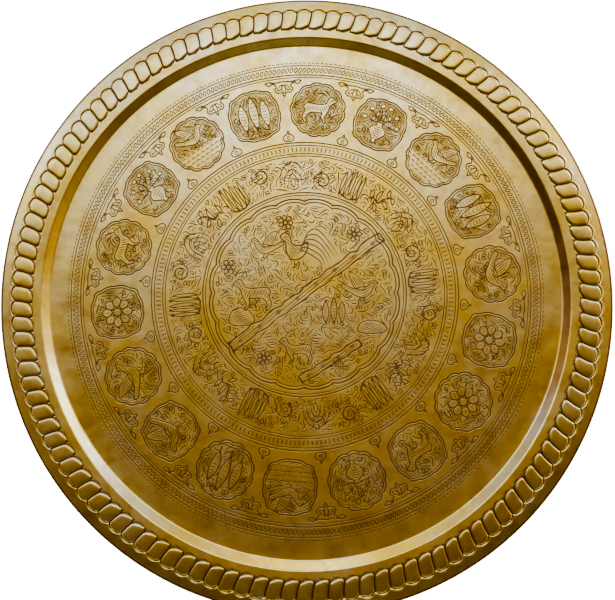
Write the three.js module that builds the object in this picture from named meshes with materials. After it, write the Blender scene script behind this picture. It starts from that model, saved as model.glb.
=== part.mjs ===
// A large round brass tray, raised from one sheet: a flat floor, a low sloping wall, a plain ledge,
// a band of raised gadroons and a plain flange whose edge is rolled under round a steel wire.
// Millimetres, +Z up. The origin is the middle of the underside, where the tray rests.
import * as THREE from "three";

// ---- Driving dimensions -------------------------------------------------------------------------
const TRAY_RADIUS = 350; // to the outside of the rolled edge
const SHEET = 1.2; // thickness of the brass
const WELL_DEPTH = 9; // from the ledge down to the floor

const FLOOR_RADIUS = 295.5; // corner between the floor and the wall
const LEDGE_RADIUS = 302; // corner between the wall and the ledge
const BEND_RADIUS = 3; // upper face of the bends at both corners
const BEND_STEPS = 2;

const GADROON_COUNT = 120;
const GADROON_INNER = 311.5;
const GADROON_OUTER = 338;
const GADROON_RISE = 2; // crest of a gadroon above the ledge
const GADROON_GROOVE = 0.8; // groove between two gadroons, below the ledge
const GADROON_SWEEP = 0.38; // share of a pitch by which the inner tails lean round
const GADROON_RINGS = [
  { along: 0.1, height: 0.7 },
  { along: 0.5, height: 1.0 },
  { along: 0.9, height: 0.8 },
]; // along: 0 at the inner end, 1 at the outer end; height: share of the rise

const FLANGE_SLOPE = THREE.MathUtils.degToRad(8); // fall of the flange towards the edge
const WIRE_RADIUS = 1.5;
const WIRE_GAP = 0.3; // between the wire and the brass rolled round it
const ROLL_TURN = THREE.MathUtils.degToRad(290); // the roll stops short, so its inside stays open
const ROLL_STEPS = 6;

// ---- Worked-out sizes ---------------------------------------------------------------------------
const SEGMENTS = GADROON_COUNT; // facets round the plain parts; the gadroons have two each
const WIRE_SIDES = 6;
const FLOOR_TOP = SHEET;
const LEDGE_TOP = FLOOR_TOP + WELL_DEPTH;
const WALL_SLOPE = Math.atan2(WELL_DEPTH, LEDGE_RADIUS - FLOOR_RADIUS);
const BEND_REACH = BEND_RADIUS * Math.tan(WALL_SLOPE / 2);

const ROLL_RADIUS = WIRE_RADIUS + WIRE_GAP + SHEET;
const FLANGE_END = {
  r: TRAY_RADIUS - ROLL_RADIUS + ROLL_RADIUS * Math.sin(FLANGE_SLOPE),
  z: 0,
};
FLANGE_END.z = LEDGE_TOP - (FLANGE_END.r - GADROON_OUTER) * Math.tan(FLANGE_SLOPE);
const ROLL_CENTRE = {
  r: TRAY_RADIUS - ROLL_RADIUS,
  z: FLANGE_END.z - ROLL_RADIUS * Math.cos(FLANGE_SLOPE),
};

// ---- Profile pieces: lists of { r, z } -----------------------------------------------------------

// Points on an arc of the profile, both ends included.
function arc(centre, radius, from, to, steps) {
  const points = [];
  for (let i = 0; i <= steps; i += 1) {
    const angle = from + ((to - from) * i) / steps;
    points.push({
      r: centre.r + radius * Math.cos(angle),
      z: centre.z + radius * Math.sin(angle),
    });
  }
  return points;
}

// The two bends that join the floor, the wall and the ledge, on the upper or the lower face.
function wallProfile(face) {
  const below = face === "lower" ? SHEET : 0;
  const foot = { r: FLOOR_RADIUS - BEND_REACH, z: FLOOR_TOP + BEND_RADIUS };
  const top = { r: LEDGE_RADIUS + BEND_REACH, z: LEDGE_TOP - BEND_RADIUS };
  const down = -Math.PI / 2;
  const up = Math.PI / 2;
  return [
    ...arc(foot, BEND_RADIUS + below, down, down + WALL_SLOPE, BEND_STEPS),
    ...arc(top, BEND_RADIUS - below, up + WALL_SLOPE, up, BEND_STEPS),
  ];
}

// The rolled edge, from the end of the flange's upper face round to the end of its lower face.
function rollProfile() {
  const start = Math.PI / 2 - FLANGE_SLOPE;
  const end = start - ROLL_TURN;
  return [
    ...arc(ROLL_CENTRE, ROLL_RADIUS, start, end, ROLL_STEPS),
    ...arc(ROLL_CENTRE, ROLL_RADIUS - SHEET, end, start, ROLL_STEPS),
  ];
}

// ---- Rings: the profile's points carried round the axis --------------------------------------------

function plainRing({ r, z }) {
  return Array.from({ length: SEGMENTS }, (_, i) => {
    const angle = (2 * Math.PI * i) / SEGMENTS;
    return new THREE.Vector3(r * Math.cos(angle), r * Math.sin(angle), z);
  });
}

// A ring through the gadroons: every other point is a crest, and the ones between are grooves.
function gadroonRing({ along, height }, faceZ) {
  const pitch = (2 * Math.PI) / GADROON_COUNT;
  const r = THREE.MathUtils.lerp(GADROON_INNER, GADROON_OUTER, along);
  const lean = GADROON_SWEEP * pitch * (1 - along) ** 2;
  return Array.from({ length: 2 * GADROON_COUNT }, (_, i) => {
    const angle = (pitch * i) / 2 + lean;
    const relief = i % 2 === 0 ? GADROON_RISE * height : -GADROON_GROOVE;
    return new THREE.Vector3(r * Math.cos(angle), r * Math.sin(angle), faceZ + relief);
  });
}

function gadroonBand(faceZ) {
  return [
    plainRing({ r: GADROON_INNER, z: faceZ }),
    ...GADROON_RINGS.map((ring) => gadroonRing(ring, faceZ)),
    plainRing({ r: GADROON_OUTER, z: faceZ }),
  ];
}

// ---- Mesh building -----------------------------------------------------------------------------

// Triangles between two neighbouring rings, where one may have twice the points of the other.
// The first ring is the one nearer the top centre, which turns the faces outwards.
function strip(near, far) {
  const triangles = [];
  const steps = Math.min(near.length, far.length);
  const nearStep = near.length / steps;
  const farStep = far.length / steps;
  for (let i = 0; i < steps; i += 1) {
    const a = near[i * nearStep];
    const aNext = near[((i + 1) * nearStep) % near.length];
    const b = far[i * farStep];
    const bNext = far[((i + 1) * farStep) % far.length];
    if (farStep === 2) {
      const middle = far[i * farStep + 1];
      triangles.push([a, b, middle], [a, middle, aNext], [aNext, middle, bNext]);
    } else if (nearStep === 2) {
      const middle = near[i * nearStep + 1];
      triangles.push([a, b, middle], [middle, b, bNext], [middle, bNext, aNext]);
    } else {
      triangles.push([a, b, bNext], [a, bNext, aNext]);
    }
  }
  return triangles;
}

// A fan that closes a face at the axis.
function fan(centre, ring, facesUp) {
  return ring.map((point, i) => {
    const next = ring[(i + 1) % ring.length];
    return facesUp ? [centre, point, next] : [centre, next, point];
  });
}

function geometryOf(triangles) {
  return new THREE.BufferGeometry().setFromPoints(triangles.flat());
}

// ---- Pieces -----------------------------------------------------------------------------------

function traySheet() {
  const lowerFlangeStart = {
    r: GADROON_OUTER - SHEET * Math.tan(FLANGE_SLOPE / 2),
    z: LEDGE_TOP - SHEET,
  };
  const lowerBand = gadroonBand(LEDGE_TOP - SHEET).reverse();
  lowerBand[0] = plainRing(lowerFlangeStart);
  const rings = [
    ...wallProfile("upper").map(plainRing),
    ...gadroonBand(LEDGE_TOP),
    ...rollProfile().map(plainRing),
    ...lowerBand,
    ...wallProfile("lower").reverse().map(plainRing),
  ];
  const triangles = [
    ...fan(new THREE.Vector3(0, 0, FLOOR_TOP), rings[0], true),
    ...rings.slice(1).flatMap((ring, i) => strip(rings[i], ring)),
    ...fan(new THREE.Vector3(0, 0, 0), rings.at(-1), false),
  ];
  const brass = new THREE.MeshStandardMaterial({ color: 0xb4924a, roughness: 0.34, metalness: 1 });
  const mesh = new THREE.Mesh(geometryOf(triangles), brass);
  mesh.name = "tray_sheet";
  return mesh;
}

function rimWire() {
  const steel = new THREE.MeshStandardMaterial({ color: 0x6f6d68, roughness: 0.55, metalness: 1 });
  const ring = new THREE.TorusGeometry(ROLL_CENTRE.r, WIRE_RADIUS, WIRE_SIDES, SEGMENTS);
  const mesh = new THREE.Mesh(ring, steel);
  mesh.position.z = ROLL_CENTRE.z;
  mesh.name = "rim_wire";
  return mesh;
}

const tray = new THREE.Group();
tray.add(traySheet(), rimWire());

export default tray;
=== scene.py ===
import math
import random

import bmesh
import bpy
import numpy as np
from mathutils import Matrix, Vector, geometry


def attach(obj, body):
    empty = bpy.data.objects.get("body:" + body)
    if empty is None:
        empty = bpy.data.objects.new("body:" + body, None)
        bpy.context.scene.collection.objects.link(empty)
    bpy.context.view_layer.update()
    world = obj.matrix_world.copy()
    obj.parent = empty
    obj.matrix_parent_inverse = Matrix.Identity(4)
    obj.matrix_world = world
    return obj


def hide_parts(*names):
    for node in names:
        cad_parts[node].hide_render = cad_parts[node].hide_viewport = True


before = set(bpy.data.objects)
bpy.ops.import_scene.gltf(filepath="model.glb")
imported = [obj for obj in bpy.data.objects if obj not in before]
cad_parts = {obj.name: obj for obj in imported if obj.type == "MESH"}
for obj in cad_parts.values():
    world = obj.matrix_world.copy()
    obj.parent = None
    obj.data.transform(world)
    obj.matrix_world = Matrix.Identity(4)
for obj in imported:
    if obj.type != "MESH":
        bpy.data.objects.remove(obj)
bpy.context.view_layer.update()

# ---- Sizes of the tray in millimetres; most are the CAD part's own ------------------------------
MM = 0.001
SHEET = 1.2
FLOOR_TOP = SHEET
WELL_DEPTH = 9
LEDGE_TOP = FLOOR_TOP + WELL_DEPTH
FLOOR_RADIUS = 295.5
LEDGE_RADIUS = 302
LEDGE_RISE = 0.6  # the ledge climbs this much on its way out to the gadroons
BEND_RADIUS = 3
TRAY_RADIUS = 350
FLANGE_SLOPE = math.radians(8)
ROLL_RADIUS = 3
ROLL_TURN = math.radians(290)
EDGE_SHADE_WIDTH = 1.2  # width over which painted shade darkens the flange towards the roll
SHADED_ROLL_RINGS = 9  # the painted shade goes on round the roll for this many rings

GADROON_COUNT = 120
GADROON_INNER = 311.5
GADROON_OUTER = 338
GADROON_LENGTH = GADROON_OUTER - GADROON_INNER
GADROON_HALF = 0.475  # half the width of a gadroon, as a share of the pitch
GADROON_RISE = 2
GADROON_SWEEP = 0.3  # share of a pitch by which the inner tails lean round
BEVEL_WIDTH = 1
BEVEL_SHARE = 0.5  # of the rise
DOME_WIDTH = 7
DOME_SHARE = 0.22  # of the rise
LIP_RISE = 0.6
LIP_PLACE = 2.1  # outside a gadroon's outline
LIP_WIDTH = 0.65
LIP_REACH = 10  # the lip goes round this much of the outer end
GADROON_LIP = 2.6  # room for the lip beyond the scalloped end
SCALLOP_RADIUS = 10.5
TIP_LENGTH = 5.5
TIP_PLACE = 0.16  # share of a pitch from the middle
FOOT_DROP = 0.3  # of a gadroon's foot, below the ledge
GROOVE_DEPTH = 0.55
GROOVE_PLACE = 0.3  # outside a gadroon's outline
GROOVE_WIDTH = 0.8
GROOVE_DIRT_WIDTH = 0.5

FLOOR_SEAM = 286  # between the engraved floor and the rim, on plain metal
BAND_SEAM = 159.4  # between the two engraved floor pieces
SEAM_SHARE = 0.99995  # middles of triangles past this share of a seam's radius lie outside it
RING_POINTS = 480

# ---- Sizes of the decoration in millimetres -------------------------------------------------------
SEED = 7  # of all the random draws
MEDALLIONS = 18
MEDALLION_RING = 217.4
MEDALLION_RADIUS = 32.8
FIRST_MEDALLION = math.radians(90 - 4.2)
PICTURE_SCALE = 1.2
PALMETTE_RING = 255
BUD_RING = 178.6
BEAD_RING = 265.4
FRINGE_RING = 272.4
CHEVRON_RING = 168.9
VINE_INNER = 119.2
VINE_FOOT = 121
VINE_OUTER = 158.6
VINE_UNITS = 24
FRAME_LOBES = 20  # of the lobed lines round the middle
PLAIN_RINGS = (  # radius and width of each plain engraved ring
    (271, 1.3), (259.6, 1.6), (256.6, 1.2), (177.3, 1.6), (173.9, 1.3), (164, 1.3), (161.1, 1.3),
    (117.4, 1.7), (114.4, 1.2),
)

BOLD = 2.0  # width of an outline cut
MEDIUM = 1.6
FINE = 1.3  # width of the cuts inside a motif
CUT_SLOPE = 0.22  # depth of a cut over its half width
DARK_INSET = 0.5  # a cut is fully dark this far inside its edge
HATCH_WIDTH = 1.25
HATCH_STEP = 0.8  # between the places that are tested along a hatching stroke
HATCH_SHORTEST = 5  # steps
STROKE_STEP = 1.6  # length of each piece of a stroke of the foliage
STROKE_GAP = 1.3  # between neighbouring strokes
GRID_CELL = 0.6  # of the grid that keeps the strokes apart
GROUND_DEPTH = 0.12  # how far a stippled ground is sunk
MERGE_DISTANCE = 1e-4  # points of the plan closer than this become one
INSIDE_ONLY = 1  # the kind of triangulation that leaves out what lies outside the plan


# ---- Curves: arrays of complex numbers, x + 1j * y -------------------------------------------------

def arc(centre, radius, start, end, steps):
    return centre + radius * np.exp(1j * np.linspace(start, end, steps + 1))


def circle(centre, radius, steps):
    return arc(centre, radius, 0, 2 * math.pi, steps)[:-1]


def smooth(corners, closed=False, steps=4):
    """A curve through given (x, y) corners."""
    p = np.array([complex(x, y) for x, y in corners])
    if closed:
        p = np.concatenate([p[-1:], p, p[:2]])
    else:
        p = np.concatenate([[2 * p[0] - p[1]], p, [2 * p[-1] - p[-2]]])
    t = np.linspace(0, 1, steps, endpoint=False)[None, :]
    a, b, c, d = (p[k:len(p) - 3 + k, None] for k in range(4))
    curve = 0.5 * (2 * b + (c - a) * t + (2 * a - 5 * b + 4 * c - d) * t**2
                   + (3 * b - a - 3 * c + d) * t**3)
    curve = curve.ravel()
    return curve if closed else np.append(curve, p[-2])


def spiral(centre, outer, inner, start, turns, steps):
    t = np.linspace(0, 1, steps + 1)
    return centre + (outer + (inner - outer) * t) * np.exp(1j * (start + turns * 2 * math.pi * t))


def scallops(radius, depth, count, steps, sharpness=0.6):
    """A closed outline of round lobes that meet in cusps; the first cusp is at angle 0."""
    t = np.arange(count * steps) / steps
    bulge = np.abs(np.sin(np.pi * t)) ** sharpness
    return (radius - depth * (1 - bulge)) * np.exp(2j * math.pi * t / count)


def leaf(root, tip, width, bend=0.0, steps=8):
    """A closed pointed leaf from root to tip."""
    t = np.linspace(0, 1, steps + 1)
    side = 1j * (tip - root)
    spine = root + (tip - root) * t + side * bend * np.sin(np.pi * t)
    half = side / abs(side) * width / 2 * np.sin(np.pi * t) ** 0.8
    return np.concatenate([spine + half, (spine - half)[-2:0:-1]])


class Motif:
    """Cuts and areas that make a picture. A motif can be added to another, moved and turned."""

    def __init__(self):
        self.lines = []
        self.loops = []
        self.plain = []
        self.grounds = []

    def line(self, points, width=FINE):
        self.lines.append((np.asarray(points), width))

    def loop(self, points, width=FINE):
        self.loops.append((np.asarray(points), width))

    def figure(self, points, width=FINE):
        """An outlined area that stays smooth inside a stippled ground."""
        self.loop(points, width)
        self.plain.append(np.asarray(points))

    def ground(self, points):
        self.grounds.append(np.asarray(points))

    def add(self, other, origin=0, turn=1, mirror=False):
        def place(points):
            return origin + turn * (-points.conjugate() if mirror else points)

        thinner = min(1, abs(turn) ** 0.5)
        self.lines += [(place(p), w * thinner) for p, w in other.lines]
        self.loops += [(place(p), w * thinner) for p, w in other.loops]
        self.plain += [place(p) for p in other.plain]
        self.grounds += [place(p) for p in other.grounds]


def inside(points, polygon):
    """Which points lie inside a closed polygon."""
    a, b = polygon, np.roll(polygon, -1)
    p = points[:, None]
    crosses = (a.imag > p.imag) != (b.imag > p.imag)
    with np.errstate(divide="ignore", invalid="ignore"):
        x = (b.real - a.real) * (p.imag - a.imag) / (b.imag - a.imag) + a.real
    return np.sum(crosses & (p.real < x), axis=1) % 2 == 1


def hatch(motif, area, gap, angle=0.6):
    """Parallel strokes inside a figure, clear of its outline."""
    turn = np.exp(1j * angle)
    turned = area / turn
    across = np.arange(turned.real.min(), turned.real.max(), HATCH_STEP)
    for y in np.arange(turned.imag.min() + gap, turned.imag.max() - 0.5 * gap, gap):
        hit = np.concatenate([[False], inside(across + 1j * y, turned), [False]])
        starts = np.flatnonzero(~hit[:-1] & hit[1:])
        ends = np.flatnonzero(hit[:-1] & ~hit[1:]) - 1
        for first, last in zip(starts, ends):
            if last - first >= HATCH_SHORTEST:
                stroke = np.linspace(across[first + 1], across[last - 1], 4) + 1j * y
                motif.line(stroke * turn, HATCH_WIDTH)


# ---- Small motifs ----------------------------------------------------------------------------------

def bird():
    m = Motif()
    body = smooth([(-17, 8.5), (-13.5, 12), (-9.5, 9.5), (-6, 5), (1, 4.5), (9, 3), (19, 8), (21, 4.5),
                   (12, -1), (2, -6), (-6, -5), (-11, 1), (-13, 6)], True, 3)
    m.figure(body, MEDIUM)
    hatch(m, body, 2.3, -0.5)
    wing = smooth([(-3, 2), (-1, 10), (5, 17), (13, 20), (11, 11), (6, 3)], True, 3)
    m.figure(wing, FINE)
    hatch(m, wing, 2.1, 1.0)
    for x in (-2, 2.5):
        m.line(smooth([(x, -5.5), (x - 0.5, -10), (x - 4, -12.5)]))
    m.loop(circle(-13.3 + 9.2j, 0.9, 6), 0.7)
    return m


def gazelle():
    m = Motif()
    body = smooth([(-18, 9), (-14, 13), (-10.5, 12), (-8, 7), (-2, 5.5), (5, 6), (11, 6.5), (14, 3),
                   (13, -2), (15, -7.5), (12.5, -13), (10.5, -12.5), (11, -7.5), (7, -3), (0, -3),
                   (-4, -3.5), (-3.5, -8.5), (-6.5, -13), (-8.5, -12.5), (-6.5, -8), (-10, -1.5),
                   (-12, 4.5), (-15, 7)], True, 3)
    m.figure(body, MEDIUM)
    hatch(m, body, 2.2, 1.1)
    m.line(smooth([(-11.5, 13), (-9.5, 18), (-4, 21)]))
    m.line(smooth([(-10, 12.5), (-6, 16), (-1, 16.5)]))
    m.line(smooth([(4, -4), (1.5, -8), (3, -13)]))
    m.line(smooth([(-10, -2), (-13, -6.5), (-16, -7)]))
    m.loop(circle(-13.4 + 9.6j, 0.9, 6), 0.7)
    return m


def rosette(petals=8, radius=15):
    m = Motif()
    m.figure(circle(0, radius * 0.25, 14), MEDIUM)
    m.loop(circle(0, radius * 0.11, 8), 0.5)
    for k in range(petals):
        turn = np.exp(2j * math.pi * k / petals)
        m.figure(leaf(radius * 0.3 * turn, radius * turn, radius * 0.52, steps=7), MEDIUM)
        m.line(np.linspace(radius * 0.4, radius * 0.82, 3) * turn, 1.0)
        between = turn * np.exp(1j * math.pi / petals)
        m.line(np.linspace(radius * 0.75, radius * 1.35, 4) * between)
        m.loop(circle(radius * 1.5 * between, 1.1, 6), 0.6)
    return m


def vase():
    m = Motif()
    body = smooth([(-3, -19), (-2, -16), (-8, -9), (-7, -4), (-2.5, -1), (-4, 2)], steps=3)
    outline = np.concatenate([body, -body.conjugate()[::-1]])
    m.figure(outline, MEDIUM)
    hatch(m, outline, 2.3, 0)
    for side in (-1, 1):
        for reach, height in ((4, 17), (13, 11), (17, 1)):
            m.line(smooth([(side * 1, 2), (side * reach * 0.5, height * 0.6), (side * reach, height)]))
            tip = complex(side * reach, height)
            m.figure(circle(tip + 1.5j, 2.3, 9))
            m.figure(leaf(0.55 * tip + 1, 0.55 * tip + complex(-2 * side, 6), 2.6, steps=5))
    return m


def cypresses():
    m = Motif()
    for x, top in ((-11, 15), (0, 21), (11, 15)):
        m.figure(leaf(complex(x, -14), complex(x, top), 8.5, steps=10), MEDIUM)
        for k in range(6):
            y = -8 + (top + 4) * k / 6
            m.line(smooth([(x - 2.8, y + 2.2), (x, y), (x + 2.8, y + 2.2)]), 1.1)
        m.line(np.array([complex(x, -14), complex(x + 0.3, -17), complex(x, -20)]), MEDIUM)
    m.line(smooth([(-20, -19), (-8, -21), (8, -21), (20, -19)]))
    return m


def duck_on_waves():
    m = Motif()
    m.add(bird(), 1 + 6j, 0.85)
    for row in range(4):
        y = -8 - 4.2 * row
        half = math.sqrt(27**2 - y**2)
        count = int(half / 3.2)
        for k in range(-count, count):
            centre = complex((k + 0.5 + 0.5 * (row % 2)) * 5.6, y)
            if abs(centre) < 26:
                m.line(arc(centre, 2.6, math.radians(15), math.radians(165), 5))
                m.line(arc(centre, 1.3, math.radians(20), math.radians(160), 3), 0.5)
    m.plain.append(np.array([-27 - 5j, 27 - 5j, 18 - 22j, -18 - 22j]))
    return m


def flow(place, shift):
    """Direction of the engraved foliage: a field of curls, each about 25 mm across."""
    return (shift + 2.2 * math.sin(place.real / 8.5 + shift) + 2.2 * math.cos(place.imag / 8 - shift)
            + 0.5 * math.sin((place.real - place.imag) / 4))


def free_grid(motif, region, hole):
    """A grid over a region, true where foliage can go; returns its corner and the grid."""
    low = complex(region.real.min(), region.imag.min())
    columns = np.arange(low.real, region.real.max(), GRID_CELL)
    rows = np.arange(low.imag, region.imag.max(), GRID_CELL)
    places = (columns[:, None] + 1j * rows[None, :]).ravel()
    blocked = motif.plain if hole is None else [*motif.plain, hole]
    free = covered(places, [region]) & ~covered(places, blocked)
    free = free.reshape(len(columns), len(rows))
    for axis in (0, 1):
        free = free & np.roll(free, 1, axis) & np.roll(free, -1, axis)
    return low, free


def trace(place, low, free, longest, shift):
    """Follows the flow from a place while the grid is free; returns the points and their cells."""
    points, cells = [], []
    while len(points) < longest:
        column = round((place - low).real / GRID_CELL)
        row = round((place - low).imag / GRID_CELL)
        if not (0 <= column < free.shape[0] and 0 <= row < free.shape[1] and free[column, row]):
            break
        points.append(place)
        cells.append((column, row))
        angle = flow(place, shift)
        place += STROKE_STEP * complex(math.cos(angle), math.sin(angle))
    return points, cells


def foliage(motif, region, rng, hole=None):
    """Fills the free part of a region with short curling strokes and small leaves."""
    low, free = free_grid(motif, region, hole)
    shift = rng.uniform(0, 6)
    reach = round(STROKE_GAP / GRID_CELL)
    starts = [(i, j) for i in range(0, free.shape[0], 2) for j in range(0, free.shape[1], 2)]
    rng.shuffle(starts)
    for longest, shortest in ((13, 8), (8, 5), (4, 3)):
        for i, j in starts:
            if not free[i, j]:
                continue
            start = low + GRID_CELL * complex(i, j)
            points, cells = trace(start, low, free, longest, shift)
            if len(points) < shortest:
                continue
            if longest == 8 and rng.random() < 0.4:
                motif.loop(leaf(points[0], points[4], 3, 0.12, 5), 1.2)
                cells = cells[:5]
            else:
                motif.line(points, rng.uniform(1.1, 1.8))
            for column, row in cells:
                left, bottom = max(column - reach, 0), max(row - reach, 0)
                free[left:column + reach + 1, bottom:row + reach + 1] = False


# ---- The floor's decoration ----------------------------------------------------------------------

def medallion(picture, pointed, rng):
    """A lobed medallion; +y is outwards on the tray."""
    m = Motif()
    if pointed:
        t = np.arange(112) / 112
        lobes = np.abs(np.sin(8 * np.pi * t)) ** 0.6
        tips = np.abs(np.cos(2 * np.pi * (2 * t - 0.25))) ** 24
        outline = MEDALLION_RADIUS * (0.9 + 0.05 * lobes + 0.12 * tips) * np.exp(2j * math.pi * t)
    else:
        outline = scallops(MEDALLION_RADIUS, 2.2, 13, 8)
    m.loop(outline, BOLD)
    inner = outline * 0.92
    m.loop(inner, FINE)
    m.ground(inner)
    m.add(picture, 0, PICTURE_SCALE, mirror=rng.random() < 0.5)
    foliage(m, inner * 0.97, rng)
    return m


def palmette():
    """A lobed crown that hangs from the outer line, with an arm on each side; +y is outwards."""
    m = Motif()
    side = smooth([(0, -21), (-3.2, -15.5), (-7.5, -16), (-11, -12), (-8.5, -7.5), (-13, -4.5),
                   (-17.5, -6.5), (-22, -3)], steps=3)
    back = smooth([(-22, -3), (-16.5, -1.8), (-9, -3.2), (0, -2.2)], steps=3)
    half = np.concatenate([side, back[1:]])
    m.loop(np.concatenate([half, -half.conjugate()[-2:0:-1]]), MEDIUM)
    m.loop(leaf(-6j, -17j, 4.5), FINE)
    for flip in (-1, 1):
        m.loop(leaf(complex(flip * 2, -6), complex(flip * 8.2, -13), 3.8, -0.1 * flip, 6), FINE)
        m.line(smooth([(flip * 9, -5), (flip * 13, -3.4), (flip * 18, -4)]), 1.1)
    return m


def bud():
    """A small trefoil that stands on the inner border; +y is outwards."""
    m = Motif()
    side = smooth([(0, 14), (-1.8, 9.5), (-4.5, 8.2), (-6.4, 4.6), (-4.4, 1.6), (0, 1)], steps=3)
    m.loop(np.concatenate([side, -side.conjugate()[::-1][1:-1]]), MEDIUM)
    m.loop(circle(5j, 1.9, 8), 1.2)
    m.line(smooth([(0, 7.3), (0.1, 9.5), (0, 11.5)]), 1)
    return m


def repeat(motif, unit, radius, count, phase=0.0):
    """Sets a unit round a ring; its +y points outwards."""
    for k in range(count):
        out = np.exp(1j * (phase + 2 * math.pi * k / count))
        motif.add(unit, radius * out, out * -1j)


def bead_band(motif):
    """The outer border: ovals in a row, with a fringe of small arcs outside them."""
    count = MEDALLIONS * 18
    unit = Motif()
    angles = np.arange(9) * math.tau / 9
    oval = 2.9j * np.cos(angles) + 1.75 * np.sin(angles)
    unit.loop(oval + 0.35 * oval.imag, 1.25)
    repeat(motif, unit, BEAD_RING, count)
    scallop = Motif()
    scallop.line(arc(0, 2.1, 0.15, math.pi - 0.15, 4), 1.2)
    repeat(motif, scallop, FRINGE_RING, count)


def chevron_band(motif):
    """The inner border: small chevrons, each with two short strokes."""
    unit = Motif()
    unit.line(smooth([(-1.4, -3.3), (1.2, 0), (-1.4, 3.3)], steps=2), 1.5)
    unit.line(np.array([0.5 + 3.1j, 1.3 + 2.4j, 2.3 + 1.9j]), 1.1)
    unit.line(np.array([0.5 - 3.1j, 1.3 - 2.4j, 2.3 - 1.9j]), 1.1)
    repeat(motif, unit, CHEVRON_RING, MEDALLIONS * 12)


def reed_bundle(rng):
    """Tall reeds for the vine band; +y is outwards and y 0 is the band's foot."""
    m = Motif()
    for k in range(5):
        x = -11 + 5.5 * k
        top = rng.uniform(30, 37)
        lean = rng.uniform(-1, 1)
        m.figure(leaf(complex(x, 2), complex(x + lean, top), 3.8, rng.uniform(-0.03, 0.03), 8), 1.5)
    m.line(smooth([(-15, 9), (-6, 0.8), (6, 0.8), (15, 9)]), BOLD)
    return m


def volute(outer):
    """A vine that rolls up, with leaves on its back, near the outer side or the foot of the band."""
    m = Motif()
    centre = 25j if outer else 12j
    turn = -1 if outer else 1
    stem = spiral(centre, 11.5, 2.5, -turn * math.pi / 2, turn * 1.7, 28)
    m.line(stem, BOLD)
    m.figure(circle(centre, 2.4, 9))
    for k in range(5):
        a = -turn * math.pi / 2 + turn * (0.5 + k * 1.15)
        root = centre + 11 * np.exp(1j * a)
        m.figure(leaf(root, root + 6 * np.exp(1j * (a + turn * 0.9)), 3.4, 0.12, 5))
    return m


def arches(rng):
    """Three arches inside each other."""
    m = Motif()
    for half, top in ((14, 33), (9.5, 26), (5, 19)):
        top += rng.uniform(-1, 2)
        side = smooth([(-half, 2), (-half * 1.05, top * 0.5), (-half * 0.6, top * 0.85), (0, top)])
        m.line(np.concatenate([side, -side.conjugate()[-2::-1]]), MEDIUM)
    m.figure(leaf(3j, 15j, 4.5), FINE)
    return m


def trailing_stem(rng):
    """A stem in an S, with a leaf in each bend."""
    m = Motif()
    m.line(smooth([(-15, 6), (-9, 16), (0, 14), (4, 24), (14, 31)]), BOLD)
    for root, tip in ((-10 + 13j, -13 + 25j), (-2 + 14j, -3 + 30j), (3 + 20j, 13 + 15j),
                      (6 + 26j, 3 + 35j), (-4 + 12j, 3 + 3j), (9 + 29j, 15 + 23j)):
        m.figure(leaf(root, tip, 4.2, rng.uniform(-0.15, 0.15), 6), MEDIUM)
    return m


def vine_band(motif, rng):
    """The wide band between the inner border and the ring round the middle."""
    band = Motif()
    for k in range(VINE_UNITS):
        out = np.exp(1j * (0.1 + 2 * math.pi * k / VINE_UNITS))
        if k % 2:
            unit = volute(k % 4 == 3) if k % 6 != 3 else trailing_stem(rng)
        else:
            unit = reed_bundle(rng) if k % 4 == 0 else arches(rng)
        band.add(unit, VINE_FOOT * out, out * -1j, mirror=rng.random() < 0.5)
    foliage(band, circle(0, VINE_OUTER, 240), rng, circle(0, VINE_INNER, 240))
    motif.add(band)


def branch(start, end, width, knots, rng):
    """A knotted branch: two wavy edges with cut ends and rings for knots."""
    m = Motif()
    along = end - start
    forward = along / abs(along)
    side = 1j * along / abs(along)
    t = np.linspace(0, 1, 4 * knots + 1)
    wave = np.array([rng.uniform(-0.12, 0.12) for _ in t]) + 0.1 * np.sin(t * knots * math.tau)
    edge = start + along * t + side * width * (0.5 + wave)
    other = start + along * t - side * width * (0.5 - 0.6 * wave)
    outline = np.concatenate([edge, other[::-1]])
    m.figure(outline, BOLD)
    hatch(m, outline, 3.2, np.angle(along) + 0.05)
    for k in range(knots):
        at = start + along * (k + 0.5) / knots + side * rng.uniform(-0.12, 0.12) * width
        m.loop(circle(at, width * 0.15, 7), 1.2)
        grain = (at - forward * 6, at + side * 1.2, at + forward * 7)
        m.line(smooth([(p.real, p.imag) for p in grain]), 1.1)
    return m


def plumed_bird():
    """The large bird of the middle, with a long tail that sweeps down to the right."""
    m = Motif()
    m.figure(smooth([(-24, 20), (-19, 25), (-13, 21), (-10, 12), (-2, 10), (8, 14), (6, 2), (-3, -6),
                     (-12, -5), (-17, 4), (-18, 14)], True, 4), BOLD)
    hatch(m, m.plain[0], 2.4, -0.7)
    m.loop(circle(-18.6 + 20j, 1, 7), 0.8)
    for k in range(6):
        reach = 46 - 4.5 * k
        plume = [(1 - k, 9 - 1.5 * k), (9 - k, 26 - 4.5 * k), (22, 27 - 7 * k), (reach, -4 - 2.2 * k)]
        m.line(smooth(plume, steps=6), MEDIUM)
    m.plain.append(smooth([(0, 10), (8, 28), (24, 29), (48, -6), (22, -16), (2, -2)], True, 3))
    for k in range(3):
        m.line(smooth([(-19 + k, 25), (-17 + 2 * k, 30 - k), (-20 + 4 * k, 33 - k)]), 1)
    for x in (-8, -3):
        m.line(smooth([(x, -6), (x + 1, -14), (x - 2, -19)]), MEDIUM)
    return m


def rock(width, height):
    m = Motif()
    corners = [(-width, 0), (-width * 0.7, height * 0.8), (0, height), (width * 0.6, height * 0.75),
               (width, 0.1 * height), (width * 0.5, -height * 0.3), (-width * 0.5, -height * 0.35)]
    m.figure(smooth(corners, True, 4), MEDIUM)
    hatch(m, m.plain[0], 2.4, 0.4)
    return m


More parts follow.
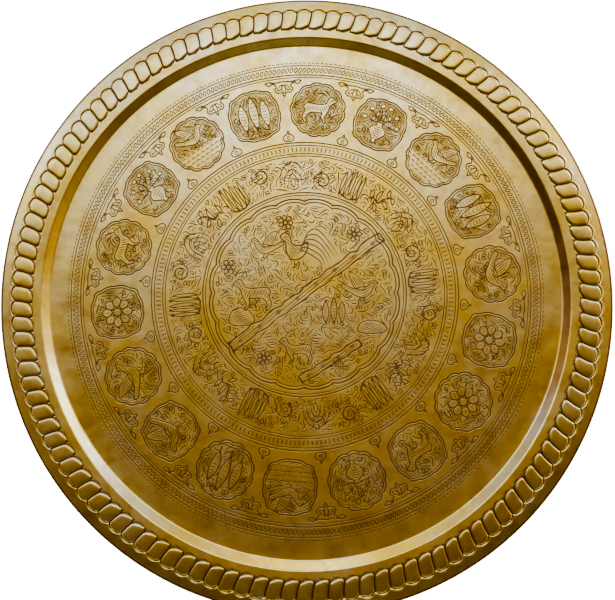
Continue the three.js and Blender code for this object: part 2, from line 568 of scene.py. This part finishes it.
def garden(rng):
    """The picture in the middle: branches, birds, gazelles and plants, with foliage between them."""
    m = Motif()
    m.add(branch(-84 - 62j, 90 + 66j, 11, 8, rng))
    m.add(branch(-4 - 99j, 64 - 56j, 9, 4, rng))
    m.add(plumed_bird(), -4 + 45j, 1.0)
    m.add(gazelle(), -58 - 2j, 1.35)
    m.add(bird(), -45 + 52j, 1.0)
    m.add(bird(), 66 + 2j, 1.1, mirror=True)
    m.add(gazelle(), -8 - 66j, 1.15)
    m.add(cypresses(), 34 - 22j, 0.85)
    m.add(rock(15, 15), -72 - 32j)
    m.add(rock(17, 11), 78 - 42j)
    m.add(rosette(7, 9), -22 + 82j)
    m.add(rosette(7, 9), 58 + 68.4j)
    m.add(rosette(6, 9), -88 + 30j)
    m.add(rosette(7, 9), -46 - 74j)
    m.add(vase(), 40 - 84j, 0.55)
    frame_line = scallops(105.5, 3.4, FRAME_LOBES, 8)
    foliage(m, frame_line * 0.985, rng)
    return m


def floor_decoration():
    """The whole engraving except the plain rings."""
    rng = random.Random(SEED)
    m = Motif()
    pictures = (gazelle, rosette, bird, cypresses, duck_on_waves, vase)
    for k in range(MEDALLIONS):
        out = np.exp(1j * (FIRST_MEDALLION - 2 * math.pi * k / MEDALLIONS))
        picture = pictures[(k * 5 + k // 6) % 6]()
        m.add(medallion(picture, k % 2 == 1, rng), MEDALLION_RING * out, out * -1j)
    between = FIRST_MEDALLION + math.pi / MEDALLIONS
    repeat(m, palmette(), PALMETTE_RING, MEDALLIONS, between)
    repeat(m, bud(), BUD_RING, MEDALLIONS, between)
    bead_band(m)
    chevron_band(m)
    vine_band(m, rng)
    m.loop(scallops(110.4, 3.6, FRAME_LOBES, 10), BOLD)
    m.loop(scallops(106.6, 3.5, FRAME_LOBES, 10), MEDIUM)
    m.add(garden(rng))
    return m


# ---- From cuts to a mesh -------------------------------------------------------------------------

def normals(points, closed):
    """Unit vectors to the left of a curve at its points."""
    if closed:
        along = np.roll(points, -1) - np.roll(points, 1)
    else:
        along = np.gradient(points)
    return 1j * along / np.maximum(np.abs(along), 1e-9)


class Plan:
    """The points and edges that the triangulation keeps."""

    def __init__(self):
        self.points = []
        self.edges = []

    def chain(self, points, closed):
        first = len(self.points)
        self.points += [Vector((p.real, p.imag)) for p in points]
        last = len(self.points) - 1
        self.edges += [(i, i + 1) for i in range(first, last)]
        if closed:
            self.edges.append((last, first))


def cut_edges(plan, motif):
    """Adds the edges of every cut to the plan; returns the cuts as (points, half widths)."""
    cuts = []
    for points, width in motif.lines:
        if len(points) < 3:
            points = np.linspace(points[0], points[-1], 3)
        share = np.linspace(0, 1, len(points))
        half = width / 2 * np.sqrt(np.sin(np.pi * share)).clip(0)
        half[0] = half[-1] = 0
        offset = normals(points, False) * half
        plan.chain(np.concatenate([points + offset, (points - offset)[-2:0:-1]]), True)
        plan.chain(points, False)
        cuts.append((points, half))
    for points, width in motif.loops:
        offset = normals(points, True) * width / 2
        for shift in (-1, 0, 1):
            plan.chain(points + shift * offset, True)
        cuts.append((np.append(points, points[0]), np.full(len(points) + 1, width / 2)))
    for radius, width in PLAIN_RINGS:
        for shift in (-1, 0, 1):
            plan.chain(circle(0, radius + shift * width / 2, RING_POINTS), True)
    return cuts


def nearby(order, sorted_x, points, low, high):
    """The indexes of the points in a box."""
    first, last = np.searchsorted(sorted_x, [low.real, high.real])
    found = order[first:last]
    y = points[found].imag
    return found[(y >= low.imag) & (y <= high.imag)]


def carve(points, cuts):
    """How far each point lies inside a cut: 0 on its edge, and the half width on its line."""
    depth = np.zeros(len(points))
    radius = np.abs(points)
    for ring_radius, width in PLAIN_RINGS:
        depth = np.maximum(depth, width / 2 - np.abs(radius - ring_radius))
    order = np.argsort(points.real)
    sorted_x = points.real[order]
    for line, half in cuts:
        reach = complex(half.max(), half.max())
        low = complex(line.real.min(), line.imag.min()) - reach
        high = complex(line.real.max(), line.imag.max()) + reach
        found = nearby(order, sorted_x, points, low, high)
        if not len(found):
            continue
        p = points[found, None]
        a, b = line[:-1], line[1:]
        along = b - a
        share = ((p - a) * along.conjugate()).real / np.maximum(np.abs(along) ** 2, 1e-12)
        share = share.clip(0, 1)
        inset = half[:-1] + share * (half[1:] - half[:-1]) - np.abs(p - a - share * along)
        depth[found] = np.maximum(depth[found], inset.max(axis=1))
    return depth


def covered(points, areas):
    """Which points lie in any of the areas."""
    hit = np.zeros(len(points), bool)
    order = np.argsort(points.real)
    sorted_x = points.real[order]
    for area in areas:
        low = complex(area.real.min(), area.imag.min())
        high = complex(area.real.max(), area.imag.max())
        found = nearby(order, sorted_x, points, low, high)
        hit[found] |= inside(points[found], area)
    return hit


def engraved_surface():
    """Triangulates the decoration; returns points (complex), heights, triangles, cut and ground shares."""
    motif = floor_decoration()
    plan = Plan()
    for radius in (FLOOR_SEAM, BAND_SEAM):
        plan.chain(circle(0, radius, RING_POINTS), True)
    cuts = cut_edges(plan, motif)
    found = geometry.delaunay_2d_cdt(plan.points, plan.edges, [], INSIDE_ONLY, MERGE_DISTANCE, False)
    points = np.array([complex(v.x, v.y) for v in found[0]])
    triangles = np.array([f for f in found[2] if len(f) == 3])
    centres = points[triangles].mean(axis=1)
    both = np.concatenate([points, centres])
    inset = carve(both, cuts)
    sunk = covered(both, motif.grounds) & ~covered(both, motif.plain)
    heights = -CUT_SLOPE * inset - GROUND_DEPTH * sunk
    count = len(points)
    return points, heights[:count], triangles, (inset[:count] / DARK_INSET).clip(0, 1), sunk[count:]


def add_piece(mesh, material):
    """Puts a finished mesh in the scene as a visible piece with the mesh's name."""
    mesh.materials.append(material)
    piece = bpy.data.objects.new(mesh.name, mesh)
    bpy.context.scene.collection.objects.link(piece)
    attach(piece, "root")
    return piece


def set_attribute(mesh, name, domain, values):
    attribute = mesh.attributes.new(name, "FLOAT", domain)
    attribute.data.foreach_set("value", np.asarray(values, np.float32))


def close_below(mesh):
    """Closes an open sheet with sides down to z 0 and a flat underside."""
    bm = bmesh.new()
    bm.from_mesh(mesh)
    bmesh.ops.recalc_face_normals(bm, faces=bm.faces)
    rim = [edge for edge in bm.edges if edge.is_boundary]
    sides = bmesh.ops.extrude_edge_only(bm, edges=rim)["geom"]
    cut_layer = bm.verts.layers.float["cut"]
    for vertex in sides:
        if isinstance(vertex, bmesh.types.BMVert):
            vertex.co.z = 0
            vertex[cut_layer] = 0
    lower_edges = [e for e in sides if isinstance(e, bmesh.types.BMEdge) and e.is_boundary]
    bmesh.ops.triangle_fill(bm, edges=lower_edges, use_beauty=True, normal=(0, 0, -1))
    bmesh.ops.recalc_face_normals(bm, faces=bm.faces)
    if max(f.normal.z for f in bm.faces) < 0.5:
        bmesh.ops.reverse_faces(bm, faces=bm.faces)
    bm.to_mesh(mesh)
    bm.free()


def floor_piece(name, surface, keep, material):
    """One closed piece of the floor, with the kept triangles of the surface as its top."""
    points, heights, triangles, cut, sunk = surface
    triangles = triangles[keep]
    used, index = np.unique(triangles, return_inverse=True)
    index = index.reshape(triangles.shape)
    top = [(p.real * MM, p.imag * MM, (FLOOR_TOP + z) * MM) for p, z in zip(points[used], heights[used])]
    mesh = bpy.data.meshes.new(name)
    mesh.from_pydata(top, [], index.tolist())
    set_attribute(mesh, "cut", "POINT", cut[used])
    set_attribute(mesh, "ground", "FACE", sunk[keep])
    close_below(mesh)
    return add_piece(mesh, material)


# ---- The rim -------------------------------------------------------------------------------------

HALF_PITCH_BACK = -math.pi / GADROON_COUNT  # angle at which the rings from the gadroons to the roll start

def profile_arc(r, z, radius, start, end, steps):
    """(r, z) points on an arc of the profile."""
    angles = np.linspace(start, end, steps + 1)
    return [(r + radius * math.cos(a), z + radius * math.sin(a)) for a in angles]


def wall_profile(below, steps=6):
    """The bends at the foot and the top of the wall, on the upper face or a thickness below it."""
    slope = math.atan2(WELL_DEPTH, LEDGE_RADIUS - FLOOR_RADIUS)
    reach = BEND_RADIUS * math.tan(slope / 2)
    down, up = -math.pi / 2, math.pi / 2
    foot = profile_arc(FLOOR_RADIUS - reach, FLOOR_TOP + BEND_RADIUS, BEND_RADIUS + below,
                       down, down + slope, steps)
    top = profile_arc(LEDGE_RADIUS + reach, LEDGE_TOP - BEND_RADIUS, BEND_RADIUS - below,
                      up + slope, up, steps)
    return foot + top


def roll_profile(steps=16):
    """The rolled edge: its outer face from the flange round, then its inner face back."""
    start = math.pi / 2 - FLANGE_SLOPE
    end = start - ROLL_TURN
    r = TRAY_RADIUS - ROLL_RADIUS
    end_r = r + ROLL_RADIUS * math.sin(FLANGE_SLOPE)
    z = LEDGE_TOP - (end_r - GADROON_OUTER) * math.tan(FLANGE_SLOPE) - ROLL_RADIUS * math.cos(FLANGE_SLOPE)
    return (profile_arc(r, z, ROLL_RADIUS, start, end, steps)
            + profile_arc(r, z, ROLL_RADIUS - SHEET, end, start, steps))


def gadroon_inset(along, across, pitch):
    """How far a point lies inside a gadroon's outline, in mm: below 0 outside it.
    The sides are straight, the outer end is a shallow scallop and the inner end is rounded by a quarter
    of an ellipse on each side of a tip that lies off the middle."""
    half = GADROON_HALF * pitch
    side = half - abs(across)
    scallop_centre = GADROON_LENGTH - GADROON_LIP - SCALLOP_RADIUS
    if along > scallop_centre:
        side = min(side, SCALLOP_RADIUS - math.hypot(along - scallop_centre, across))
    if along < TIP_LENGTH:
        tip = TIP_PLACE * pitch
        width = half + tip if across < tip else half - tip
        u = 1 - along / TIP_LENGTH
        v = abs(across - tip) / width
        far = math.hypot(u, v)
        side = min(side, (1 - far) * far / max(math.hypot(u / TIP_LENGTH, v / width), 1e-6))
    return side


def ridge(distance, width):
    """A smooth hump, 1 high where the distance is 0."""
    return math.exp(-((distance / width) ** 2))


def gadroon_height(along, across, pitch):
    """Height in mm above the ledge: a slightly domed pillow with a bevel, in a narrow groove, with a lip
    round its outer end."""
    inset = gadroon_inset(along, across, pitch)
    if inset > 0:
        bevel = min(inset / BEVEL_WIDTH, 1)
        dome = 1 - min(inset / DOME_WIDTH, 1)
        rise = BEVEL_SHARE * bevel * (2 - bevel) + DOME_SHARE * (1 - dome**2)
        return GADROON_RISE * rise - FOOT_DROP * (1 - bevel)
    beyond = along > GADROON_LENGTH - LIP_REACH
    lip = LIP_RISE * ridge(inset + LIP_PLACE, LIP_WIDTH) if beyond else 0
    return lip - GROOVE_DEPTH * ridge(inset + GROOVE_PLACE, GROOVE_WIDTH)


def gadroon_ring(along, across_steps, drop):
    """One ring of points through the gadroons, with the set steps across each, and their dirt, 0 to 1."""
    r = GADROON_INNER + along
    pitch = math.tau / GADROON_COUNT
    share = along / GADROON_LENGTH
    lean = GADROON_SWEEP * pitch * (1 - share) ** 2.5
    ring, dirt_and_shade = [], []
    for k in range(GADROON_COUNT):
        for step in across_steps:
            across = step * pitch * r
            height = gadroon_height(along, across, pitch * r) + LEDGE_RISE * (1 - share**2)
            angle = pitch * (k + step) + lean
            ring.append((r * math.cos(angle), r * math.sin(angle), LEDGE_TOP - drop + height))
            inset = gadroon_inset(along, across, pitch * r)
            dirt_and_shade.append(ridge(inset + GROOVE_PLACE, GROOVE_DIRT_WIDTH))
    return ring, dirt_and_shade


def plain_ring(r, z, count=RING_POINTS, start=0.0, dirt_and_shade=0):
    """A ring of points at one radius and height, and how dark each is painted; only the roll's rings are
    set dark, as painted shade.
    """
    angles = start + np.arange(count) * math.tau / count
    return [(r * math.cos(a), r * math.sin(a), z) for a in angles], [dirt_and_shade] * count


def upper_rings():
    """The rings of the rim's upper face, from the seam to the end of the flange."""
    across = (-0.5, -GADROON_HALF, -0.44, -0.385, -0.29, -0.15, 0, 0.15, 0.29, 0.385, 0.44, GADROON_HALF)
    inner_alongs = (0, 0.8, 1.6, 2.5, 3.6, 4.8, 6.2, 7.8, 9.8, 12, 14.5, 17)
    outer_alongs = np.linspace(18.6, GADROON_LENGTH, 16)
    fine = {"count": GADROON_COUNT * len(across), "start": HALF_PITCH_BACK}
    coarse = {"start": HALF_PITCH_BACK}
    flange_end, flange_z = roll_profile()[0]
    shade_start_z = flange_z + EDGE_SHADE_WIDTH * math.tan(FLANGE_SLOPE)
    return [
        plain_ring(FLOOR_SEAM, FLOOR_TOP),
        *(plain_ring(r, z) for r, z in wall_profile(0)),
        plain_ring(GADROON_INNER - 2.5, LEDGE_TOP + 0.7 * LEDGE_RISE, **coarse),
        plain_ring(GADROON_INNER - 1, LEDGE_TOP + 0.9 * LEDGE_RISE, **fine),
        *(gadroon_ring(along, across, 0) for along in (*inner_alongs, *outer_alongs)),
        plain_ring(GADROON_OUTER + 0.8, LEDGE_TOP - 0.1, **fine),
        plain_ring(GADROON_OUTER + 1.6, LEDGE_TOP - 0.22, **coarse),
        # the roll's painted shade fades in from this ring out to the roll
        plain_ring(flange_end - EDGE_SHADE_WIDTH, shade_start_z, **coarse),
    ]


def roll_rings():
    """The rings round the rolled edge, of which the first ones carry painted shade."""
    return [
        # the first rings of the roll's outer face are painted dark as shade
        plain_ring(r, z, start=HALF_PITCH_BACK, dirt_and_shade=int(i < SHADED_ROLL_RINGS))
        for i, (r, z) in enumerate(roll_profile())
    ]


def lower_rings():
    """The rings of the rim's lower face, from the roll back to the seam. The underside has no dirt and no
    painted shade.
    """
    across = (-0.5, -0.25, 0, 0.25)
    gadroons = [gadroon_ring(along, across, SHEET)[0] for along in (24, 19, 13, 7, 2.5)]
    return [
        *((ring, [0] * len(ring)) for ring in gadroons),
        *(plain_ring(r, z) for r, z in reversed(wall_profile(SHEET))),
        plain_ring(FLOOR_SEAM, 0),
    ]


def bridge(faces, first, first_count, second, second_count):
    """Faces between two rings of which the second may have a whole multiple of the first's points, or
    the other way round."""
    steps = min(first_count, second_count)
    a_step, b_step = first_count // steps, second_count // steps
    for i in range(steps):
        a, a_next = first + i * a_step, first + (i + 1) % steps * a_step
        b, b_next = second + i * b_step, second + (i + 1) % steps * b_step
        between_a = list(range(a + 1, a + a_step))
        between_b = list(range(b + 1, b + b_step))
        faces.append([a, b, *between_b, b_next, a_next, *reversed(between_a)])


def rim_object(material):
    """The wall, ledge, gadroons, flange and rolled edge: one closed tube of rings."""
    rings = upper_rings() + roll_rings() + lower_rings()
    vertices, dirt_and_shade, firsts = [], [], []
    for points, ring_dirt_and_shade in rings:
        firsts.append(len(vertices))
        vertices += [(x * MM, y * MM, z * MM) for x, y, z in points]
        dirt_and_shade += ring_dirt_and_shade
    faces = []
    for i, (points, _) in enumerate(rings):
        j = (i + 1) % len(rings)
        bridge(faces, firsts[i], len(points), firsts[j], len(rings[j][0]))
    mesh = bpy.data.meshes.new("tray_rim")
    mesh.from_pydata(vertices, [], faces)
    # the rim's "cut" attribute holds dirt in the gadroon grooves and painted shade round the rolled edge
    set_attribute(mesh, "cut", "POINT", dirt_and_shade)
    bm = bmesh.new()
    bm.from_mesh(mesh)
    bmesh.ops.triangulate(bm, faces=[f for f in bm.faces if len(f.verts) > 4])
    bmesh.ops.recalc_face_normals(bm, faces=bm.faces)
    bm.to_mesh(mesh)
    bm.free()
    mesh.polygons.foreach_set("use_smooth", [True] * len(mesh.polygons))
    mesh.set_sharp_from_angle(angle=math.radians(60))
    return add_piece(mesh, material)


# ---- Materials -------------------------------------------------------------------------------------

GOLD = (0.58, 0.385, 0.05, 1)
PALE_GOLD = (0.61, 0.455, 0.12, 1)
BROWN_STAIN = (0.40, 0.215, 0.03, 1)
GROUND_DIRT = (0.34, 0.2, 0.02, 1)
# dark brown of the cuts: patina in the engraving and the gadroon grooves, and painted shade round the
# rolled edge
CUT_DIRT_AND_ROLL_SHADE = (0.12, 0.052, 0.008, 1)
WHITE = (1, 1, 1, 1)
DULL_BROWN = (0.12, 0.06, 0.03, 1)
IRON = (0.3, 0.29, 0.27, 1)
RUST = (0.22, 0.12, 0.07, 1)

# Sockets of a Mix node that mixes colours: some of their names are used more than once on the node.
MIX_SHARE, MIX_FIRST, MIX_SECOND, MIX_RESULT = 0, 6, 7, 2


class Nodes:
    """A material's node tree, with one short call per node."""

    def __init__(self, name):
        self.material = bpy.data.materials.new(name)
        self.material.use_nodes = True
        self.tree = self.material.node_tree
        self.shader = self.tree.nodes["Principled BSDF"]
        self.place = self.add("ShaderNodeTexCoord").outputs["Object"]

    def add(self, kind, **settings):
        node = self.tree.nodes.new(kind)
        for key, value in settings.items():
            setattr(node, key, value)
        return node

    def link(self, output, target):
        self.tree.links.new(output, target)

    def noise(self, scale, detail=4, roughness=0.5, distortion=0.0):
        node = self.add("ShaderNodeTexNoise")
        self.link(self.place, node.inputs["Vector"])
        node.inputs["Scale"].default_value = scale
        node.inputs["Detail"].default_value = detail
        node.inputs["Roughness"].default_value = roughness
        node.inputs["Distortion"].default_value = distortion
        return node.outputs["Fac"]

    def remap(self, value, low, high, to_low=0.0, to_high=1.0):
        node = self.add("ShaderNodeMapRange")
        self.link(value, node.inputs["Value"])
        for key, number in zip(("From Min", "From Max", "To Min", "To Max"), (low, high, to_low, to_high)):
            node.inputs[key].default_value = number
        return node.outputs["Result"]

    def math(self, operation, first, second):
        node = self.add("ShaderNodeMath", operation=operation)
        for socket, value in zip(node.inputs, (first, second)):
            if isinstance(value, (int, float)):
                socket.default_value = value
            else:
                self.link(value, socket)
        return node.outputs["Value"]

    def mix(self, share, first, second):
        node = self.add("ShaderNodeMix", data_type="RGBA")
        for index, value in ((MIX_SHARE, share), (MIX_FIRST, first), (MIX_SECOND, second)):
            socket = node.inputs[index]
            if isinstance(value, (int, float, tuple)):
                socket.default_value = value
            else:
                self.link(value, socket)
        return node.outputs[MIX_RESULT]

    def attribute(self, name):
        return self.add("ShaderNodeAttribute", attribute_name=name).outputs["Fac"]

    def bump(self, height, distance, below=None):
        node = self.add("ShaderNodeBump")
        node.inputs["Strength"].default_value = 1
        node.inputs["Distance"].default_value = distance
        self.link(height, node.inputs["Height"])
        if below is not None:
            self.link(below, node.inputs["Normal"])
        return node.outputs["Normal"]


def dotted(n):
    """Close-set dots, 0 in the middle of each and 1 between them."""
    dots = n.add("ShaderNodeTexVoronoi")
    n.link(n.place, dots.inputs["Vector"])
    dots.inputs["Scale"].default_value = 900
    return n.remap(dots.outputs["Distance"], 0.15, 0.6)


def brass():
    """Old brass: cloudy polish, brown stains, dark cuts, a stippled ground and painted shade round the
    rolled edge.
    """
    n = Nodes("old_brass")
    # the "cut" share: dark patina in engraved cuts and gadroon grooves, and painted shade round the rolled
    # edge
    cut = n.remap(n.attribute("cut"), 0.05, 0.42)
    ground = n.attribute("ground")
    cloudy = n.remap(n.noise(13, detail=5, roughness=0.6), 0.38, 0.62)
    stains = n.remap(n.noise(42, detail=6, roughness=0.65, distortion=0.4), 0.48, 0.72)
    grime = n.remap(n.noise(60, detail=3), 0.42, 0.6, to_low=0.2, to_high=0.85)
    color = n.mix(cloudy, GOLD, PALE_GOLD)
    color = n.mix(n.math("MULTIPLY", stains, 0.6), color, BROWN_STAIN)
    color = n.mix(n.math("MULTIPLY", ground, grime), color, GROUND_DIRT)
    # dark brown where the cut share is set: patina in cuts and grooves, painted shade on the roll
    color = n.mix(n.math("MULTIPLY", cut, 0.88), color, CUT_DIRT_AND_ROLL_SHADE)
    polish = n.remap(n.noise(60, detail=5, roughness=0.6), 0.3, 0.7, to_low=0.27, to_high=0.38)
    rough = n.math("ADD", polish, n.math("MULTIPLY", n.math("ADD", cut, ground), 0.12))
    grain = n.remap(n.noise(1500, detail=3, roughness=0.6), 0.3, 0.7)
    normal = n.bump(n.noise(22, detail=3), distance=0.0009)
    normal = n.bump(grain, distance=0.00003, below=normal)
    normal = n.bump(n.math("MULTIPLY", dotted(n), ground), distance=0.00008, below=normal)
    n.link(color, n.shader.inputs["Base Color"])
    n.link(rough, n.shader.inputs["Roughness"])
    n.link(normal, n.shader.inputs["Normal"])
    n.link(n.mix(cut, WHITE, DULL_BROWN), n.shader.inputs["Specular Tint"])
    n.link(n.remap(cut, 0, 1, to_low=0.94, to_high=0.8), n.shader.inputs["Metallic"])
    return n.material


def iron_wire():
    """Dull iron with rust."""
    n = Nodes("iron_wire")
    rust = n.remap(n.noise(220, detail=5, roughness=0.6), 0.45, 0.65)
    rough = n.remap(n.noise(500), 0.3, 0.7, to_low=0.45, to_high=0.7)
    n.link(n.mix(rust, IRON, RUST), n.shader.inputs["Base Color"])
    n.link(rough, n.shader.inputs["Roughness"])
    n.link(n.bump(n.noise(900), distance=0.0001), n.shader.inputs["Normal"])
    n.shader.inputs["Metallic"].default_value = 1
    return n.material


# ---- Stage -----------------------------------------------------------------------------------------

CAMERA_PLACE = (0.0161, -0.0024, 0.6958)
CAMERA_PITCH = math.radians(5.3)  # up from straight down, towards +Y
CAMERA_YAW = math.radians(-1.02)
CAMERA_SENSOR = 36
CAMERA_LENS = 35.12
CAMERA_SHIFT = -0.098

STUDIO_SIZE = 6  # from the middle of the studio floor to its sides
STUDIO_FLOOR_Z = -0.0003
STUDIO_FLOOR_COLOR = (0.86, 0.86, 0.85, 1)
WHITE_STRENGTH = 4  # of the studio floor's own glow and of the backdrop

DAYLIGHT_TURN = math.radians(-5)  # clockwise from +Y, where the daylight comes from
ROOM_COLORS = (  # from the side away from the daylight (-1) to the side that it comes from (1)
    (-1.0, (0.4, 0.46, 0.75)),
    (-0.9, (0.5, 0.48, 0.4)),
    (-0.8, (0.16, 0.11, 0.03)),
    (-0.42, (0.14, 0.088, 0.008)),
    (-0.3, (0.4, 0.27, 0.02)),
    (-0.15, (0.5, 0.345, 0.04)),
    (0.0, (0.36, 0.255, 0.03)),
    (0.1, (1.0, 0.85, 0.35)),
    (0.2, (1.9, 2.0, 3.0)),
    (0.3, (2.3, 2.8, 6.5)),
    (0.39, (4.4, 5.7, 17)),
    (0.47, (1.6, 2.1, 7)),
    (0.7, (0.64, 0.86, 2.7)),
    (1.0, (2.8, 3.0, 4.0)),
)
SIDE_TINTS = (  # multiplies the room's colours, from the left (-1) to the right (1)
    (-1.0, (0.14, 0.05, 0.02)),
    (-0.86, (0.18, 0.07, 0.04)),
    (-0.72, (0.9, 0.98, 1.2)),
    (-0.5, (0.74, 0.76, 0.75)),
    (-0.36, (0.5, 0.48, 0.4)),
    (0.0, (1.1, 1.12, 1.15)),
    (0.36, (0.56, 0.49, 0.31)),
    (0.6, (0.66, 0.6, 0.42)),
    (0.8, (1.2, 1.2, 1.3)),
    (1.0, (1.6, 1.7, 2.2)),
)


def studio_floor():
    """A plain pale floor."""
    square = ((-1, -1), (1, -1), (1, 1), (-1, 1))
    corners = [(x * STUDIO_SIZE, y * STUDIO_SIZE, STUDIO_FLOOR_Z) for x, y in square]
    mesh = bpy.data.meshes.new("studio_floor")
    mesh.from_pydata(corners, [], [(0, 1, 2, 3)])
    floor = bpy.data.objects.new("studio_floor", mesh)
    bpy.context.scene.collection.objects.link(floor)
    n = Nodes("studio_floor")
    n.shader.inputs["Base Color"].default_value = STUDIO_FLOOR_COLOR
    n.shader.inputs["Roughness"].default_value = 0.9
    n.shader.inputs["Emission Color"].default_value = WHITE
    n.shader.inputs["Emission Strength"].default_value = WHITE_STRENGTH
    mesh.materials.append(n.material)


def area_light(name, place, target, size, power, color):
    light = bpy.data.lights.new(name, "AREA")
    light.shape = "RECTANGLE"
    light.size, light.size_y = size
    light.energy = power
    light.color = color
    lamp = bpy.data.objects.new(name, light)
    lamp.location = place
    lamp.rotation_euler = (Vector(target) - Vector(place)).to_track_quat("-Z", "Y").to_euler()
    bpy.context.scene.collection.objects.link(lamp)


def direction_ramp(tree, axis, colors):
    """A colour for each direction of the world, by its share along the axis."""
    place = tree.nodes.new("ShaderNodeTexCoord")
    toward = tree.nodes.new("ShaderNodeVectorMath")
    toward.operation = "DOT_PRODUCT"
    toward.inputs[1].default_value = axis
    shift = tree.nodes.new("ShaderNodeMapRange")
    shift.inputs["From Min"].default_value = -1
    ramp = tree.nodes.new("ShaderNodeValToRGB")
    tree.links.new(place.outputs["Generated"], toward.inputs[0])
    tree.links.new(toward.outputs["Value"], shift.inputs["Value"])
    tree.links.new(shift.outputs["Result"], ramp.inputs["Fac"])
    elements = ramp.color_ramp.elements
    for _ in colors[2:]:
        elements.new(0.5)
    for element, (side, color) in zip(elements, colors):
        element.position = (side + 1) / 2
        element.color = (*color, 1)
    return ramp.outputs["Color"]


def room_light():
    """Soft light all round: cool daylight on one side and dim warm light on the other. The camera sees
    a plain white backdrop in its place."""
    world = bpy.data.worlds.new("studio")
    bpy.context.scene.world = world
    world.use_nodes = True
    tree = world.node_tree
    room = tree.nodes["Background"]
    across = (math.cos(DAYLIGHT_TURN), -math.sin(DAYLIGHT_TURN), 0)
    along = (math.sin(DAYLIGHT_TURN), math.cos(DAYLIGHT_TURN), 0)
    product = tree.nodes.new("ShaderNodeMix")
    product.data_type = "RGBA"
    product.blend_type = "MULTIPLY"
    product.inputs[MIX_SHARE].default_value = 1
    tree.links.new(direction_ramp(tree, along, ROOM_COLORS), product.inputs[MIX_FIRST])
    tree.links.new(direction_ramp(tree, across, SIDE_TINTS), product.inputs[MIX_SECOND])
    tree.links.new(product.outputs[MIX_RESULT], room.inputs["Color"])
    backdrop = tree.nodes.new("ShaderNodeBackground")
    backdrop.inputs["Color"].default_value = WHITE
    backdrop.inputs["Strength"].default_value = WHITE_STRENGTH
    seen = tree.nodes.new("ShaderNodeLightPath")
    either = tree.nodes.new("ShaderNodeMixShader")
    tree.links.new(seen.outputs["Is Camera Ray"], either.inputs[0])
    tree.links.new(room.outputs[0], either.inputs[1])
    tree.links.new(backdrop.outputs[0], either.inputs[2])
    tree.links.new(either.outputs[0], tree.nodes["World Output"].inputs["Surface"])


def camera():
    """The camera, almost straight above the tray."""
    pitch, yaw = CAMERA_PITCH, CAMERA_YAW
    down = -math.cos(pitch) * math.cos(yaw)
    forward = Vector((math.sin(yaw) * math.cos(pitch), math.sin(pitch), down))
    right = forward.cross(Vector((0, 1, 0))).normalized()
    up = right.cross(forward)
    data = bpy.data.cameras.new("camera")
    data.sensor_width = CAMERA_SENSOR
    data.lens = CAMERA_LENS
    data.shift_y = CAMERA_SHIFT
    view = bpy.data.objects.new("camera", data)
    turn = Matrix((right, up, -forward)).transposed().to_4x4()
    view.matrix_world = Matrix.Translation(CAMERA_PLACE) @ turn
    bpy.context.scene.collection.objects.link(view)
    bpy.context.scene.camera = view


# ---- The scene -------------------------------------------------------------------------------------
camera()
room_light()
studio_floor()
area_light("side_strip", place=(1.5, 0, 0.3), target=(0, 0, 0), size=(2.2, 0.1), power=1.2,
           color=(1, 0.93, 0.78))

old_brass = brass()
surface = engraved_surface()
middle_radius = np.abs(surface[0][surface[2]].mean(axis=1))
in_band = middle_radius >= BAND_SEAM * SEAM_SHARE
pieces = [
    rim_object(old_brass),
    floor_piece("tray_floor_band", surface, in_band, old_brass),
    floor_piece("tray_floor_middle", surface, ~in_band, old_brass),
]
for piece in pieces:
    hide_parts("tray_sheet")
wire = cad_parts["rim_wire"]
wire.data.materials.clear()
wire.data.materials.append(iron_wire())
bpy.context.scene.view_settings.view_transform = "AgX"
bpy.context.scene.view_settings.look = "AgX - High Contrast"
